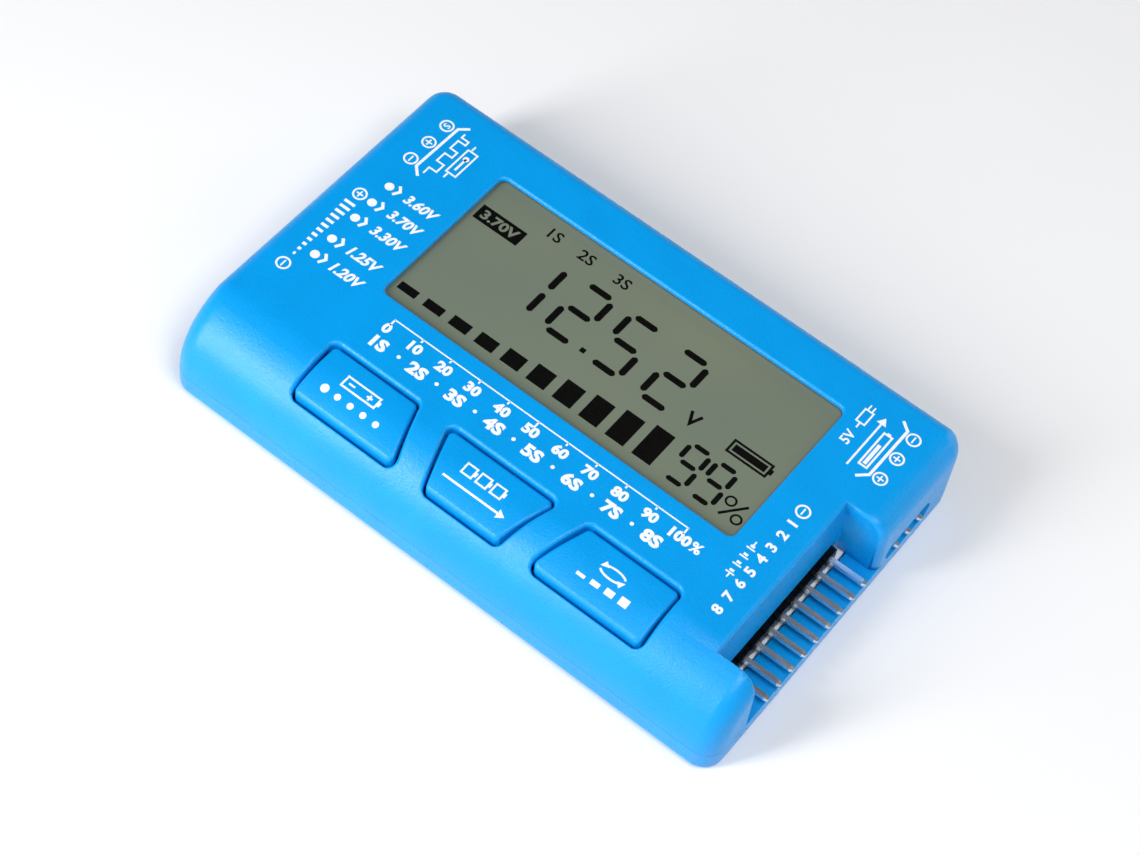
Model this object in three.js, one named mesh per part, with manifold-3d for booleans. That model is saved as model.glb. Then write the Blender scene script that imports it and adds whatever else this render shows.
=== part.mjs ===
// Handheld battery capacity checker with balance discharger and servo tester.
// Millimetres, +Z up. The origin is the middle of the base: +X points to the balance
// connector end, +Y to the edge above the display, and the keys lie towards -Y.

import * as THREE from 'three';
import { mergeVertices } from 'three/addons/utils/BufferGeometryUtils.js';
import Module from 'manifold-3d';

const wasm = await Module();
wasm.setup();

// ---------------------------------------------------------------- driving dimensions

// Case
const BODY_LENGTH = 82.6;
const BODY_WIDTH = 51.9;
const BODY_HEIGHT = 12.9;
const PARTING_HEIGHT = 3.6;
const WALL = 1.5;
const FLOOR = 1.4;
const CORNER_RADIUS = 2.9;
const BASE_EDGE_RADIUS = 1.1;
const TOP_EDGE_RADIUS = 2.0;
const SHOULDER_RADIUS = 3.0;

// Fits
const GAP = 0.3;
const SLIDE_GAP = 0.35;
const KEY_TRAVEL = 0.3;

// Circuit board
const BOARD_HEIGHT = 1.83;
const BOARD_THICKNESS = 1.6;
const BOARD_INSET = 1.9;

// Pin headers, 2.54 mm pitch
const PITCH = 2.54;
const PIN_WIDTH = 0.64;
const PIN_TIP_LENGTH = 0.5;
const PIN_TIP_WIDTH = 0.36;
const PIN_PROTRUSION = 0.3;
const HEADER_SIZE = 2.54;
const PIN_FREE_LENGTH = 5.2;
const BALANCE_PIN_COUNT = 9;
const BALANCE_CENTRE_Y = -5.3;
const SERVO_PIN_COUNT = 3;
const POWER_CENTRE_Y = 14.55;
const SERVO_CENTRE_Y = 16.5;

// Balance connector notch
const NOTCH_WIDTH = 26.0;
const NOTCH_WALL = 1.3;
const NOTCH_DRAFT = 0.7;
const NOTCH_DEPTH = 6.35;

// Slots for three-pin plugs
const SLOT_LENGTH = 9.7;
const SLOT_HEIGHT = 2.9;
const TUNNEL_WALL = 1.1;

// Display
const DISPLAY_CENTRE = [0.95, 6.75];
const WINDOW_SIZE = [52.9, 23.9];
const WINDOW_CORNER = 1.0;
const WINDOW_WALL = 0.6;
const CELL_MARGIN = 2.6;
const CELL_THICKNESS = 2.2;
const FILM_THICKNESS = 0.3;
const FILM_MARGIN = 1.0;
const HOLDER_WALL = 1.2;
const HOLDER_LIFT = 0.9;
const HOLDER_FOOT = 3.0;
const ZEBRA_THICKNESS = 2.4;
const ZEBRA_LENGTH = 48;

// Keys
const KEY_TOP_Y = -14.1;
const KEY_BOTTOM_Y = -23.6;
const KEY_SLANT = 0.33;
const KEY_CORNER = 1.6;
const LIP = 0.55;
const KEYS = [
  { name: 'left', topLeft: -25.4, topRight: -11.15, leftSlant: 0, rightSlant: 1 },
  { name: 'centre', topLeft: -8.0, topRight: 10.3, leftSlant: 1, rightSlant: -1 },
  { name: 'right', topLeft: 13.35, topRight: 28.1, leftSlant: -1, rightSlant: 0 },
];
const CAP_SINK = 0.45;
const CAP_FLAT_END_Y = -17.5;
const CAP_RADIUS = 12;
const CAP_WALL = 1.1;
const CAP_SKIN = 1.3;
const CAP_FLANGE = 0.8;
const CAP_FLANGE_THICKNESS = 0.8;
const SWITCH_SIZE = 6.0;
const SWITCH_HEIGHT = 3.5;
const PLUNGER_RADIUS = 1.7;
const PLUNGER_HEIGHT = 1.4;
const PLUNGER_DEPTH = 0.7;

// Adjusting wheel
const WHEEL_RADIUS = 5.5;
const WHEEL_THICKNESS = 2.4;
const WHEEL_TEETH = 30;
const WHEEL_TOOTH_DEPTH = 0.25;
const WHEEL_CENTRE_Y = -2.9;
const AXLE_RADIUS = 1.5;
const POT_SIZE = 6.6;
const POT_HEIGHT = 2.0;
const SCOOP_RADIUS = 12;
const SCOOP_DEPTH = 0.8;
const SCOOP_MARGIN = 0.9;

// Screws
const SCREW_RADIUS = 1.0;
const SCREW_LENGTH = 8.0;
const SCREW_HEAD_RADIUS = 1.8;
const SCREW_HEAD_HEIGHT = 0.6;
const SCREW_HEAD_SINK = 0.1;
const SCREW_CROSS = 0.5;
const BOSS_RADIUS = 2.2;
const POST_RADIUS = 3.1;
const SCREW_INSET_Y = 4.1;
const LEFT_BACK_SCREW_X = -32.2;
const RIGHT_BACK_SCREW_X = 34.5;
const FRONT_SCREW_X = 35.3;

// Board parts
const CONTROLLER_SIZE = [12, 12, 1.6];
const CONTROLLER_CENTRE = [-8, 8];
const REGULATOR_SIZE = [6.6, 6.1, 2.3];
const REGULATOR_CENTRE = [-33, -14];
const RESISTOR_SIZE = [6.4, 2.0, 0.6];
const RESISTOR_COUNT = 8;
const RESISTOR_PITCH = 2.6;
const RESISTOR_X = 26;

// ---------------------------------------------------------------- derived sizes

const halfLength = BODY_LENGTH / 2;
const halfWidth = BODY_WIDTH / 2;
const slopeRadius = BODY_HEIGHT - PARTING_HEIGHT;
const shellBottom = PARTING_HEIGHT + GAP / 2;
const trayTop = PARTING_HEIGHT - GAP / 2;
const boardTop = BOARD_HEIGHT + BOARD_THICKNESS;
const seatHeight = boardTop + GAP;
const pinHeight = seatHeight + HEADER_SIZE / 2;
const headerTop = seatHeight + HEADER_SIZE;
const tipX = halfLength + PIN_PROTRUSION;
const headerFace = tipX - PIN_FREE_LENGTH;
const headerBack = headerFace - HEADER_SIZE;
const deckInner = headerFace + 2 * GAP;
const notchTopX = halfLength - NOTCH_DEPTH;
const notchBottomX = notchTopX + NOTCH_DRAFT;
const notchLow = BALANCE_CENTRE_Y - NOTCH_WIDTH / 2;
const notchHigh = BALANCE_CENTRE_Y + NOTCH_WIDTH / 2;
const windowLedge = BODY_HEIGHT - WINDOW_WALL;
const cellWidth = WINDOW_SIZE[0] + 2 * CELL_MARGIN;
const cellHeight = WINDOW_SIZE[1] + 2 * CELL_MARGIN;
const polariserTop = windowLedge - GAP;
const cellTop = polariserTop - FILM_THICKNESS - GAP;
const reflectorTop = cellTop - CELL_THICKNESS - GAP;
const switchTop = seatHeight + SWITCH_HEIGHT;
const plungerTop = switchTop - PLUNGER_DEPTH + PLUNGER_HEIGHT;
const capBottom = plungerTop + GAP;
const capTop = BODY_HEIGHT - CAP_SINK;
const wheelX = WHEEL_RADIUS - tipX;
const wheelBottom = seatHeight + POT_HEIGHT + GAP;
const wheelTop = wheelBottom + WHEEL_THICKNESS;
const screwHeadBottom = SCREW_HEAD_SINK;
const screwHeadTop = screwHeadBottom + SCREW_HEAD_HEIGHT;
const screwTop = screwHeadTop + SCREW_LENGTH;
const screwPlaces = [
  [LEFT_BACK_SCREW_X, halfWidth - SCREW_INSET_Y],
  [RIGHT_BACK_SCREW_X, halfWidth - SCREW_INSET_Y],
  [-FRONT_SCREW_X, SCREW_INSET_Y - halfWidth],
  [FRONT_SCREW_X, SCREW_INSET_Y - halfWidth],
];

// ---------------------------------------------------------------- solids from geometry

function solidOf(geometry) {
  geometry.deleteAttribute('normal');
  geometry.deleteAttribute('uv');
  const welded = mergeVertices(geometry, 1e-5);
  const mesh = new wasm.Mesh({
    numProp: 3,
    vertProperties: new Float32Array(welded.attributes.position.array),
    triVerts: new Uint32Array(welded.index.array),
  });
  return new wasm.Manifold(mesh);
}

function geometryOf(solid) {
  const mesh = solid.getMesh();
  const geometry = new THREE.BufferGeometry();
  geometry.setAttribute('position', new THREE.BufferAttribute(mesh.vertProperties, 3));
  geometry.setIndex(new THREE.BufferAttribute(mesh.triVerts, 1));
  return geometry;
}

function union(solids) {
  return solids.reduce((sum, next) => sum.add(next));
}

function cutAll(solid, cutters) {
  return cutters.reduce((rest, cutter) => rest.subtract(cutter), solid);
}

// A box from its lowest to its highest corner.
function box(low, high) {
  const size = high.map((value, axis) => value - low[axis]);
  const geometry = new THREE.BoxGeometry(...size);
  geometry.translate(...low.map((value, axis) => value + size[axis] / 2));
  return solidOf(geometry);
}

function centredBox([x, y], [width, depth], bottom, top) {
  return box([x - width / 2, y - depth / 2, bottom], [x + width / 2, y + depth / 2, top]);
}

// A round bar standing on z = bottom.
function bar([x, y], radius, bottom, top, sides = 24) {
  const geometry = new THREE.CylinderGeometry(radius, radius, top - bottom, sides);
  geometry.rotateX(Math.PI / 2);
  geometry.translate(x, y, (bottom + top) / 2);
  return solidOf(geometry);
}

// An outline in the XY plane, pulled up from bottom to top.
function prism(points, bottom, top) {
  const shape = new THREE.Shape(points);
  const geometry = new THREE.ExtrudeGeometry(shape, { depth: top - bottom, bevelEnabled: false });
  geometry.translate(0, 0, bottom);
  return solidOf(geometry);
}

// An outline in (y, z), pulled along X.
function pulledAlongX(points, from, to) {
  const shape = new THREE.Shape(points);
  const geometry = new THREE.ExtrudeGeometry(shape, { depth: to - from, bevelEnabled: false });
  geometry.translate(0, 0, from);
  const turn = new THREE.Matrix4().makeBasis(
    new THREE.Vector3(0, 1, 0), new THREE.Vector3(0, 0, 1), new THREE.Vector3(1, 0, 0));
  geometry.applyMatrix4(turn);
  return solidOf(geometry);
}

// An outline in (x, z), pulled along Y.
function pulledAlongY(points, from, to) {
  const shape = new THREE.Shape(points);
  const geometry = new THREE.ExtrudeGeometry(shape, { depth: to - from, bevelEnabled: false });
  geometry.translate(0, 0, -to);
  const turn = new THREE.Matrix4().makeBasis(
    new THREE.Vector3(1, 0, 0), new THREE.Vector3(0, 0, 1), new THREE.Vector3(0, -1, 0));
  geometry.applyMatrix4(turn);
  return solidOf(geometry);
}

// ---------------------------------------------------------------- outlines

function arc([x, y], radius, startDegrees, endDegrees, steps) {
  const points = [];
  for (let step = 0; step <= steps; step += 1) {
    const angle = THREE.MathUtils.degToRad(startDegrees + (endDegrees - startDegrees) * step / steps);
    points.push(new THREE.Vector2(x + radius * Math.cos(angle), y + radius * Math.sin(angle)));
  }
  return points;
}

// A convex outline whose corners, listed anticlockwise, are rounded to one radius.
function rounded(corners, radius, steps = 5) {
  const points = [];
  corners.forEach((corner, index) => {
    const here = new THREE.Vector2(...corner);
    const before = new THREE.Vector2(...corners[(index + corners.length - 1) % corners.length]);
    const after = new THREE.Vector2(...corners[(index + 1) % corners.length]);
    const inward = before.sub(here).normalize();
    const outward = after.sub(here).normalize();
    const halfAngle = Math.acos(inward.dot(outward)) / 2;
    const middle = inward.clone().add(outward).normalize();
    const centre = here.clone().addScaledVector(middle, radius / Math.sin(halfAngle));
    const start = here.clone().addScaledVector(inward, radius / Math.tan(halfAngle)).sub(centre);
    const turn = Math.PI - 2 * halfAngle;
    for (let step = 0; step <= steps; step += 1) {
      points.push(start.clone().rotateAround(new THREE.Vector2(), turn * step / steps).add(centre));
    }
  });
  return points;
}

function roundedRectangle([x, y], [width, depth], radius, steps) {
  const corners = [
    [x - width / 2, y - depth / 2],
    [x + width / 2, y - depth / 2],
    [x + width / 2, y + depth / 2],
    [x - width / 2, y + depth / 2],
  ];
  return rounded(corners, radius, steps);
}

// The outline of the case seen from the +X end, a distance inside its outer face.
function sideProfile(inset, steps) {
  const frontRadius = slopeRadius - inset;
  const backRadius = Math.max(TOP_EDGE_RADIUS - inset, 0.05);
  const backCentre = backRadius + inset;
  return [
    new THREE.Vector2(halfWidth - inset, -1),
    ...arc([halfWidth - backCentre, BODY_HEIGHT - backCentre], backRadius, 0, 90, 4),
    ...arc([slopeRadius - halfWidth, BODY_HEIGHT - slopeRadius], frontRadius, 90, 180, steps),
    new THREE.Vector2(inset - halfWidth, -1),
  ];
}

// The outline of the case seen from the front, a distance inside its outer face.
function endProfile(inset) {
  const leftRadius = Math.max(TOP_EDGE_RADIUS - inset, 0.05);
  const rightRadius = Math.max(SHOULDER_RADIUS - inset, 0.05);
  const leftCentre = leftRadius + inset;
  const rightCentre = rightRadius + inset;
  return [
    new THREE.Vector2(halfLength - inset, -1),
    ...arc([halfLength - rightCentre, BODY_HEIGHT - rightCentre], rightRadius, 0, 90, 6),
    ...arc([leftCentre - halfLength, BODY_HEIGHT - leftCentre], leftRadius, 90, 180, 4),
    new THREE.Vector2(inset - halfLength, -1),
  ];
}

function planOutline(inset) {
  const size = [BODY_LENGTH - 2 * inset, BODY_WIDTH - 2 * inset];
  return roundedRectangle([0, 0], size, Math.max(CORNER_RADIUS - inset, 0.3), 6);
}

// Everything above z = low that lies at least a distance inside the outer face.
function caseSolid(inset, low, steps = 14) {
  const plan = prism(planOutline(inset), low, BODY_HEIGHT + 1);
  const side = pulledAlongX(sideProfile(inset, steps), -BODY_LENGTH, BODY_LENGTH);
  const end = pulledAlongY(endProfile(inset), -BODY_WIDTH, BODY_WIDTH);
  return plan.intersect(side).intersect(end);
}

// A key's outline, a distance inside the outer edge of its opening.
function keyOutline(key, inset, steps = 7) {
  const depth = KEY_TOP_Y - KEY_BOTTOM_Y;
  const slope = Math.hypot(1, KEY_SLANT);
  const leftInset = inset * (key.leftSlant === 0 ? 1 : slope);
  const rightInset = inset * (key.rightSlant === 0 ? 1 : slope);
  const leftAt = (down) => key.topLeft + key.leftSlant * KEY_SLANT * down + leftInset;
  const rightAt = (down) => key.topRight + key.rightSlant * KEY_SLANT * down - rightInset;
  const corners = [
    [leftAt(depth - inset), KEY_BOTTOM_Y + inset],
    [rightAt(depth - inset), KEY_BOTTOM_Y + inset],
    [rightAt(inset), KEY_TOP_Y - inset],
    [leftAt(inset), KEY_TOP_Y - inset],
  ];
  return rounded(corners, Math.max(KEY_CORNER - inset, 0.4), steps);
}

function keyCentre(key) {
  const depth = KEY_TOP_Y - KEY_BOTTOM_Y;
  const lean = (key.leftSlant + key.rightSlant) * KEY_SLANT * depth / 4;
  return [(key.topLeft + key.topRight) / 2 + lean, (KEY_TOP_Y + KEY_BOTTOM_Y) / 2];
}

// A rounded slot seen along X, pulled through from one x to another.
function slotAlongX(y, from, to) {
  const outline = roundedRectangle([y, pinHeight], [SLOT_LENGTH, SLOT_HEIGHT], SLOT_HEIGHT / 2 - 0.01, 5);
  return pulledAlongX(outline, from, to);
}

// ---------------------------------------------------------------- case

// The space above the balance pins, open to the top and to the right.
function notchCutter() {
  const outline = [
    new THREE.Vector2(notchTopX, BODY_HEIGHT + 1),
    new THREE.Vector2(notchTopX, BODY_HEIGHT),
    new THREE.Vector2(notchBottomX, headerTop),
    new THREE.Vector2(notchBottomX, 0),
    new THREE.Vector2(BODY_LENGTH, 0),
    new THREE.Vector2(BODY_LENGTH, BODY_HEIGHT + 1),
  ];
  return pulledAlongY(outline, notchLow, notchHigh);
}

function notchWalls() {
  return box(
    [notchTopX - NOTCH_WALL, notchLow - NOTCH_WALL, shellBottom],
    [halfLength, notchHigh + NOTCH_WALL, BODY_HEIGHT]);
}

// The blocks behind a plug slot; side is +1 at the right end and -1 at the left.
function tunnelBlock(side, y) {
  const inner = side * deckInner;
  const outer = side * (halfLength - WALL / 2);
  return box(
    [Math.min(inner, outer), y - SLOT_LENGTH / 2 - TUNNEL_WALL, shellBottom],
    [Math.max(inner, outer), y + SLOT_LENGTH / 2 + TUNNEL_WALL, pinHeight + SLOT_HEIGHT / 2 + TUNNEL_WALL]);
}

// Room for a header, with a gap all round it.
function headerRoom(side, y, count) {
  const half = count * PITCH / 2 + GAP;
  const near = side * (headerBack - GAP);
  const far = side * (headerFace + GAP);
  return box([Math.min(near, far), y - half, 0], [Math.max(near, far), y + half, headerTop + GAP]);
}

function wheelRoom() {
  return bar([wheelX, WHEEL_CENTRE_Y], WHEEL_RADIUS + GAP, wheelBottom - GAP, wheelTop + GAP, 48);
}

function wheelScoop() {
  const centre = [SCOOP_DEPTH - halfLength - SCOOP_RADIUS, WHEEL_CENTRE_Y];
  return bar(centre, SCOOP_RADIUS, wheelBottom - SCOOP_MARGIN, wheelTop + SCOOP_MARGIN, 64);
}

function topShell() {
  const outer = caseSolid(0, shellBottom);
  const hollow = caseSolid(WALL, shellBottom - 1);
  const bosses = screwPlaces.map((place) => bar(place, BOSS_RADIUS, seatHeight, BODY_HEIGHT));
  const blocks = union([
    notchWalls(),
    tunnelBlock(1, POWER_CENTRE_Y),
    tunnelBlock(-1, SERVO_CENTRE_Y),
    ...bosses,
  ]).intersect(outer);
  const boardRoom = box([-deckInner, -halfWidth, 0], [deckInner, halfWidth, seatHeight])
    .intersect(caseSolid(WALL, 0));
  const windowOutline = roundedRectangle(DISPLAY_CENTRE, WINDOW_SIZE, WINDOW_CORNER, 7);
  const ledgeSize = [cellWidth + 2 * GAP, cellHeight + 2 * GAP];
  return cutAll(outer.subtract(hollow).add(blocks), [
    boardRoom,
    notchCutter(),
    slotAlongX(POWER_CENTRE_Y, headerFace, BODY_LENGTH),
    slotAlongX(SERVO_CENTRE_Y, -BODY_LENGTH, -headerFace),
    headerRoom(1, BALANCE_CENTRE_Y, BALANCE_PIN_COUNT),
    headerRoom(1, POWER_CENTRE_Y, SERVO_PIN_COUNT),
    headerRoom(-1, SERVO_CENTRE_Y, SERVO_PIN_COUNT),
    prism(windowOutline, 0, BODY_HEIGHT + 1),
    centredBox(DISPLAY_CENTRE, ledgeSize, 0, windowLedge),
    ...KEYS.map((key) => prism(keyOutline(key, LIP), 0, BODY_HEIGHT + 1)),
    wheelRoom(),
    wheelScoop(),
    ...screwPlaces.map((place) => bar(place, SCREW_RADIUS + GAP, 0, screwTop + GAP, 16)),
  ]);
}

function bottomShell() {
  const size = [BODY_LENGTH, BODY_WIDTH];
  const edge = [
    new THREE.Vector2(-BODY_LENGTH, trayTop),
    ...arc([0, BASE_EDGE_RADIUS], BASE_EDGE_RADIUS, 180, 270, 4),
  ];
  const layers = edge.slice(1, -1).map((point, index) => {
    const next = edge[index + 2];
    const inset = BASE_EDGE_RADIUS + (point.x + next.x) / 2;
    const outline = roundedRectangle([0, 0], size.map((side) => side - 2 * inset), CORNER_RADIUS - inset, 6);
    return prism(outline, next.y, trayTop);
  });
  layers.push(prism(planOutline(0), BASE_EDGE_RADIUS, trayTop));
  const hollowSize = size.map((side) => side - 2 * WALL);
  const hollowOutline = roundedRectangle([0, 0], hollowSize, CORNER_RADIUS - WALL, 6);
  const deckLow = notchLow - NOTCH_WALL;
  const deckHigh = POWER_CENTRE_Y + SLOT_LENGTH / 2 + TUNNEL_WALL;
  const deck = box([deckInner, deckLow, FLOOR / 2], [halfLength - WALL / 2, deckHigh, trayTop]);
  const postTop = BOARD_HEIGHT - GAP;
  const posts = screwPlaces.map((place) => bar(place, POST_RADIUS, FLOOR / 2, postTop));
  const tray = union(layers).subtract(prism(hollowOutline, FLOOR, PARTING_HEIGHT + 1));
  const seats = screwPlaces.map((place) => bar(place, SCREW_HEAD_RADIUS + GAP, -1, screwHeadTop + GAP));
  const holes = screwPlaces.map((place) => bar(place, SCREW_RADIUS + GAP, -1, postTop + 1, 16));
  return cutAll(tray.add(deck).add(union(posts)), [...seats, ...holes]);
}

// ---------------------------------------------------------------- keys

// Everything under the top face of the keycaps, lowered by a skin thickness.
function capSurface(drop) {
  const reach = KEY_TOP_Y - KEY_BOTTOM_Y;
  const centre = [CAP_FLAT_END_Y, capTop - CAP_RADIUS];
  const sweep = THREE.MathUtils.radToDeg(Math.asin(reach / CAP_RADIUS));
  const front = CAP_FLAT_END_Y - reach;
  const outline = [
    new THREE.Vector2(front - 1, 0),
    new THREE.Vector2(0, 0),
    new THREE.Vector2(0, capTop - drop),
    ...arc(centre, CAP_RADIUS - drop, 90, 90 + sweep, 8),
    new THREE.Vector2(front - 1, BODY_HEIGHT / 4),
  ];
  return pulledAlongX(outline, -halfLength, halfLength);
}

function keycap(key) {
  const outline = keyOutline(key, LIP + SLIDE_GAP);
  const outer = prism(outline, capBottom, BODY_HEIGHT + 1).intersect(capSurface(0));
  const pocket = prism(keyOutline(key, LIP + SLIDE_GAP + CAP_WALL), capBottom - 1, BODY_HEIGHT + 1)
    .intersect(capSurface(CAP_SKIN));
  const post = bar(keyCentre(key), PLUNGER_RADIUS, capBottom, capTop - CAP_SKIN / 2, 16);
  const flange = prism(keyOutline(key, LIP + SLIDE_GAP - CAP_FLANGE), capBottom, BODY_HEIGHT)
    .intersect(caseSolid(WALL + GAP, capBottom - 1))
    .subtract(caseSolid(WALL + GAP + CAP_FLANGE_THICKNESS, capBottom - 1))
    .subtract(prism(keyOutline(key, LIP + SLIDE_GAP + CAP_WALL / 2), capBottom - 1, BODY_HEIGHT));
  return outer.subtract(pocket).add(post).add(flange);
}

function switchBody(key) {
  const centre = keyCentre(key);
  const boreBottom = switchTop - PLUNGER_DEPTH - KEY_TRAVEL - GAP;
  return centredBox(centre, [SWITCH_SIZE, SWITCH_SIZE], seatHeight, switchTop)
    .subtract(bar(centre, PLUNGER_RADIUS + GAP, boreBottom, switchTop + 1, 20));
}

function switchPlunger(key) {
  return bar(keyCentre(key), PLUNGER_RADIUS, switchTop - PLUNGER_DEPTH, plungerTop, 20);
}

// ---------------------------------------------------------------- display

function displayHolder() {
  const outerSize = [cellWidth + 2 * HOLDER_WALL + 2 * GAP, cellHeight + 2 * HOLDER_WALL + 2 * GAP];
  const innerSize = [cellWidth + 2 * GAP, cellHeight + 2 * GAP];
  const rim = centredBox(DISPLAY_CENTRE, outerSize, seatHeight, cellTop - GAP)
    .subtract(centredBox(DISPLAY_CENTRE, innerSize, 0, BODY_HEIGHT));
  const [x, y] = DISPLAY_CENTRE;
  const longGap = [outerSize[0] - 2 * HOLDER_FOOT, outerSize[1] + 1];
  const shortGap = [outerSize[0] + 1, outerSize[1] - 2 * HOLDER_FOOT];
  return cutAll(rim, [
    centredBox([x, y], longGap, 0, seatHeight + HOLDER_LIFT),
    centredBox([x, y], shortGap, 0, seatHeight + HOLDER_LIFT),
    wheelRoom(),
  ]);
}

function displayPolariser() {
  const size = WINDOW_SIZE.map((side) => side + 2 * FILM_MARGIN);
  return centredBox(DISPLAY_CENTRE, size, polariserTop - FILM_THICKNESS, polariserTop);
}

// The reflector fits between the two contact strips.
function displayReflector() {
  const size = [WINDOW_SIZE[0] + 2 * FILM_MARGIN, cellHeight - 2 * (ZEBRA_THICKNESS + GAP)];
  return centredBox(DISPLAY_CENTRE, size, reflectorTop - FILM_THICKNESS, reflectorTop);
}

// The elastomer strips that join the display's long edges to the board.
function zebraStrip(side) {
  const y = DISPLAY_CENTRE[1] + side * (cellHeight - ZEBRA_THICKNESS) / 2;
  const top = cellTop - CELL_THICKNESS - GAP;
  return centredBox([DISPLAY_CENTRE[0], y], [ZEBRA_LENGTH, ZEBRA_THICKNESS], seatHeight, top);
}

// ---------------------------------------------------------------- board and connectors

function pinPlaces(count, centreY) {
  return Array.from({ length: count }, (_, index) => centreY + (index - (count - 1) / 2) * PITCH);
}

function board() {
  const size = [BODY_LENGTH - 2 * BOARD_INSET, BODY_WIDTH - 2 * BOARD_INSET];
  const outline = roundedRectangle([0, 0], size, CORNER_RADIUS / 2, 4);
  const sheet = prism(outline, BOARD_HEIGHT, boardTop);
  const edge = headerFace + GAP;
  const servoLow = SERVO_CENTRE_Y - SLOT_LENGTH / 2 - TUNNEL_WALL - GAP;
  const beyondRight = box([edge, -BODY_WIDTH, 0], [BODY_LENGTH, BODY_WIDTH, BODY_HEIGHT]);
  const beyondLeft = box([-BODY_LENGTH, servoLow, 0], [-edge, BODY_WIDTH, BODY_HEIGHT]);
  const holeX = headerBack - PITCH / 2;
  const holes = [
    ...pinPlaces(BALANCE_PIN_COUNT, BALANCE_CENTRE_Y).map((y) => [holeX, y]),
    ...pinPlaces(SERVO_PIN_COUNT, POWER_CENTRE_Y).map((y) => [holeX, y]),
    ...pinPlaces(SERVO_PIN_COUNT, SERVO_CENTRE_Y).map((y) => [-holeX, y]),
  ];
  const holeSize = PIN_WIDTH + 2 * GAP;
  return cutAll(sheet, [
    beyondRight,
    beyondLeft,
    ...screwPlaces.map((place) => bar(place, SCREW_RADIUS + GAP, 0, BODY_HEIGHT, 16)),
    ...holes.map((place) => centredBox(place, [holeSize, holeSize], 0, BODY_HEIGHT)),
  ]);
}

// A moulded header block with a hole for each pin.
function header(side, count, centreY) {
  const half = count * PITCH / 2;
  const low = [Math.min(side * headerBack, side * headerFace), centreY - half, seatHeight];
  const high = [Math.max(side * headerBack, side * headerFace), centreY + half, headerTop];
  const reach = PIN_WIDTH / 2 + GAP;
  const holes = pinPlaces(count, centreY).map((y) => box(
    [-BODY_LENGTH, y - reach, pinHeight - reach], [BODY_LENGTH, y + reach, pinHeight + reach]));
  return cutAll(box(low, high), holes);
}

// One right-angled square pin, its tail down through the board and its tip pointed.
function pin(side, y) {
  const half = PIN_WIDTH / 2;
  const tip = PIN_TIP_WIDTH / 2;
  const tailX = headerBack - PITCH / 2;
  const tailLow = BOARD_HEIGHT;
  const neck = tipX - PIN_TIP_LENGTH;
  const outline = [
    [tailX - half, tailLow],
    [tailX + half, tailLow],
    [tailX + half, pinHeight - half],
    [neck, pinHeight - half],
    [tipX, pinHeight - tip],
    [tipX, pinHeight + tip],
    [neck, pinHeight + half],
    [tailX, pinHeight + half],
    [tailX - half, pinHeight],
  ];
  const points = outline.map(([x, z]) => new THREE.Vector2(x, z));
  const flat = pulledAlongY(points, y - half, y + half);
  const taper = [
    new THREE.Vector2(0, y - half),
    new THREE.Vector2(neck, y - half),
    new THREE.Vector2(tipX, y - tip),
    new THREE.Vector2(tipX, y + tip),
    new THREE.Vector2(neck, y + half),
    new THREE.Vector2(0, y + half),
  ];
  const shaped = flat.intersect(prism(taper, 0, BODY_HEIGHT));
  return side > 0 ? shaped : shaped.rotate([0, 0, 180]).translate([0, 2 * y, 0]);
}

function chip([x, y], [width, depth, height]) {
  return centredBox([x, y], [width, depth], seatHeight, seatHeight + height);
}

function resistorPlace(index) {
  return [RESISTOR_X, DISPLAY_CENTRE[1] + (index - (RESISTOR_COUNT - 1) / 2) * RESISTOR_PITCH];
}

// ---------------------------------------------------------------- adjusting wheel

function adjustWheel() {
  const points = [];
  for (let tooth = 0; tooth < WHEEL_TEETH; tooth += 1) {
    const angle = (tooth / WHEEL_TEETH) * 2 * Math.PI;
    const halfTooth = Math.PI / WHEEL_TEETH;
    const crest = new THREE.Vector2(WHEEL_RADIUS, 0);
    const root = new THREE.Vector2(WHEEL_RADIUS - WHEEL_TOOTH_DEPTH, 0);
    points.push(crest.rotateAround(new THREE.Vector2(), angle));
    points.push(root.rotateAround(new THREE.Vector2(), angle + halfTooth));
  }
  const disc = prism(points, wheelBottom, wheelTop).translate([wheelX, WHEEL_CENTRE_Y, 0]);
  return disc.subtract(bar([wheelX, WHEEL_CENTRE_Y], AXLE_RADIUS + GAP, 0, BODY_HEIGHT));
}

function adjustPot() {
  const place = [wheelX, WHEEL_CENTRE_Y];
  const base = centredBox(place, [POT_SIZE, POT_SIZE], seatHeight, seatHeight + POT_HEIGHT);
  return base.add(bar(place, AXLE_RADIUS, seatHeight + POT_HEIGHT / 2, wheelTop));
}

// ---------------------------------------------------------------- screws

function screw(place) {
  const profile = [
    new THREE.Vector2(0, screwHeadBottom),
    new THREE.Vector2(SCREW_HEAD_RADIUS * 0.8, screwHeadBottom),
    new THREE.Vector2(SCREW_HEAD_RADIUS, screwHeadBottom + SCREW_HEAD_HEIGHT / 2),
    new THREE.Vector2(SCREW_HEAD_RADIUS, screwHeadTop),
    new THREE.Vector2(SCREW_RADIUS, screwHeadTop),
    new THREE.Vector2(SCREW_RADIUS, screwTop - SCREW_RADIUS),
    new THREE.Vector2(0, screwTop),
  ];
  const turned = new THREE.LatheGeometry(profile, 16);
  turned.rotateX(Math.PI / 2);
  turned.translate(place[0], place[1], 0);
  const cross = [[SCREW_CROSS, 2 * SCREW_HEAD_RADIUS * 0.6], [2 * SCREW_HEAD_RADIUS * 0.6, SCREW_CROSS]];
  return cutAll(solidOf(turned), cross.map((size) => centredBox(place, size, -1, screwHeadBottom + 0.5)));
}

// ---------------------------------------------------------------- materials and scene

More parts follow.
